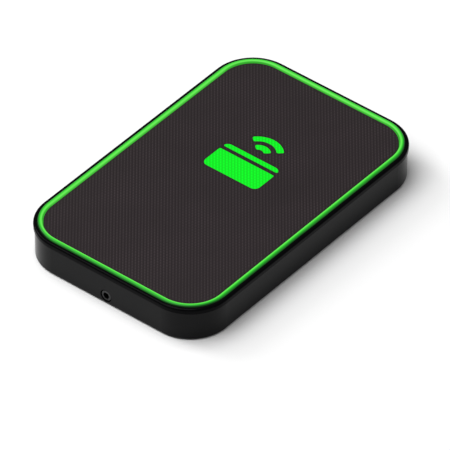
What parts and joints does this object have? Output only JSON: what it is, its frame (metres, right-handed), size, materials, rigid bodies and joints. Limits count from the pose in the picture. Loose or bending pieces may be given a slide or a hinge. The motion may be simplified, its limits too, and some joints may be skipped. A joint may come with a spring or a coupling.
{
  "type": "ticket validator",
  "caption": "Flat wall-mounted contactless ticket reader with a lit ring around a dark panel, hung on a wall plate and held by a lock screw.",
  "frame": {"origin": "middle of the rear plane, which lies on the wall", "axes": "+X across the width, +Y along the length towards the hooked top end (the lock screw is at the -Y end), +Z out of the wall towards the user"},
  "size_m": [0.084, 0.1308, 0.015],
  "materials": {
    "plate_plastic": "moulded, fine spark texture",
    "housing_plastic": "moulded, very fine satin texture",
    "bezel_gloss": "polished",
    "ring_light": "lit light guide, clear top over a diffusing core",
    "panel_weave": "satin with a fine woven pattern",
    "sign_light": "lit, under the panel's fine pattern",
    "diffuser_white": "milky",
    "tape_black": "closed-cell foam tape",
    "seal_rubber": "matt",
    "screw_steel": "zinc plated",
    "insert_brass": "knurled, plain",
    "board_green": "solder mask over glass-fibre laminate",
    "antenna_copper": "copper track under solder mask",
    "lamp_white": "moulded lamp bodies",
    "chip_black": "moulded epoxy",
    "crystal_can": "pressed can",
    "capacitor_yellow": "moulded",
    "buzzer_black": "moulded",
    "terminal_green": "moulded",
    "ferrite_grey": "flexible sheet",
    "washer_nylon": "natural nylon",
    "lock_black": "black oxide with worn edges"
  },
  "bodies": {
    "wall_plate": {"mounting_plate": "plate_plastic", "plate_nut": "insert_brass"},
    "reader": {"rear_housing": "housing_plastic", "front_bezel": "bezel_gloss", "light_ring": "ring_light", "front_panel": "panel_weave", "symbol_lens": "sign_light", "symbol_diffuser": "diffuser_white", "panel_tape": "tape_black", "seal_gasket": "seal_rubber", "case_screws": "screw_steel", "bezel_inserts": "insert_brass", "main_board": "board_green", "antenna_coil": "antenna_copper", "ring_leds": "lamp_white", "symbol_leds": "lamp_white", "processor_chip": "chip_black", "radio_chip": "chip_black", "secure_chip": "chip_black", "quartz_crystal": "crystal_can", "power_inductor": "chip_black", "supply_capacitors": "capacitor_yellow", "buzzer": "buzzer_black", "tamper_sensor": "chip_black", "terminal_block": "terminal_green", "terminal_screws": "screw_steel", "ferrite_sheet": "ferrite_grey"},
    "washer_carrier": {"lock_washer": "washer_nylon"},
    "lock_screw_body": {"lock_screw": "lock_black"}
  },
  "joints": [
    {"name": "reader_tilt", "type": "hinge", "parent": "wall_plate", "child": "reader", "pos_m": [0, 0.0639, 0.001], "axis": [-1, 0, 0], "range_deg": [0, 20]},
    {"name": "lock_screw_travel", "type": "slide", "parent": "reader", "child": "washer_carrier", "axis": [0, 1, 0], "range_m": [0, 0.004]},
    {"name": "lock_screw_turn", "type": "hinge", "parent": "washer_carrier", "child": "lock_screw_body", "pos_m": [0, -0.0647, 0.0036], "axis": [0, 1, 0], "range_deg": [0, 2880]}
  ],
  "couplings": [
    {"joint": "lock_screw_turn", "follows": "lock_screw_travel", "rad_per_m": 12566}
  ]
}
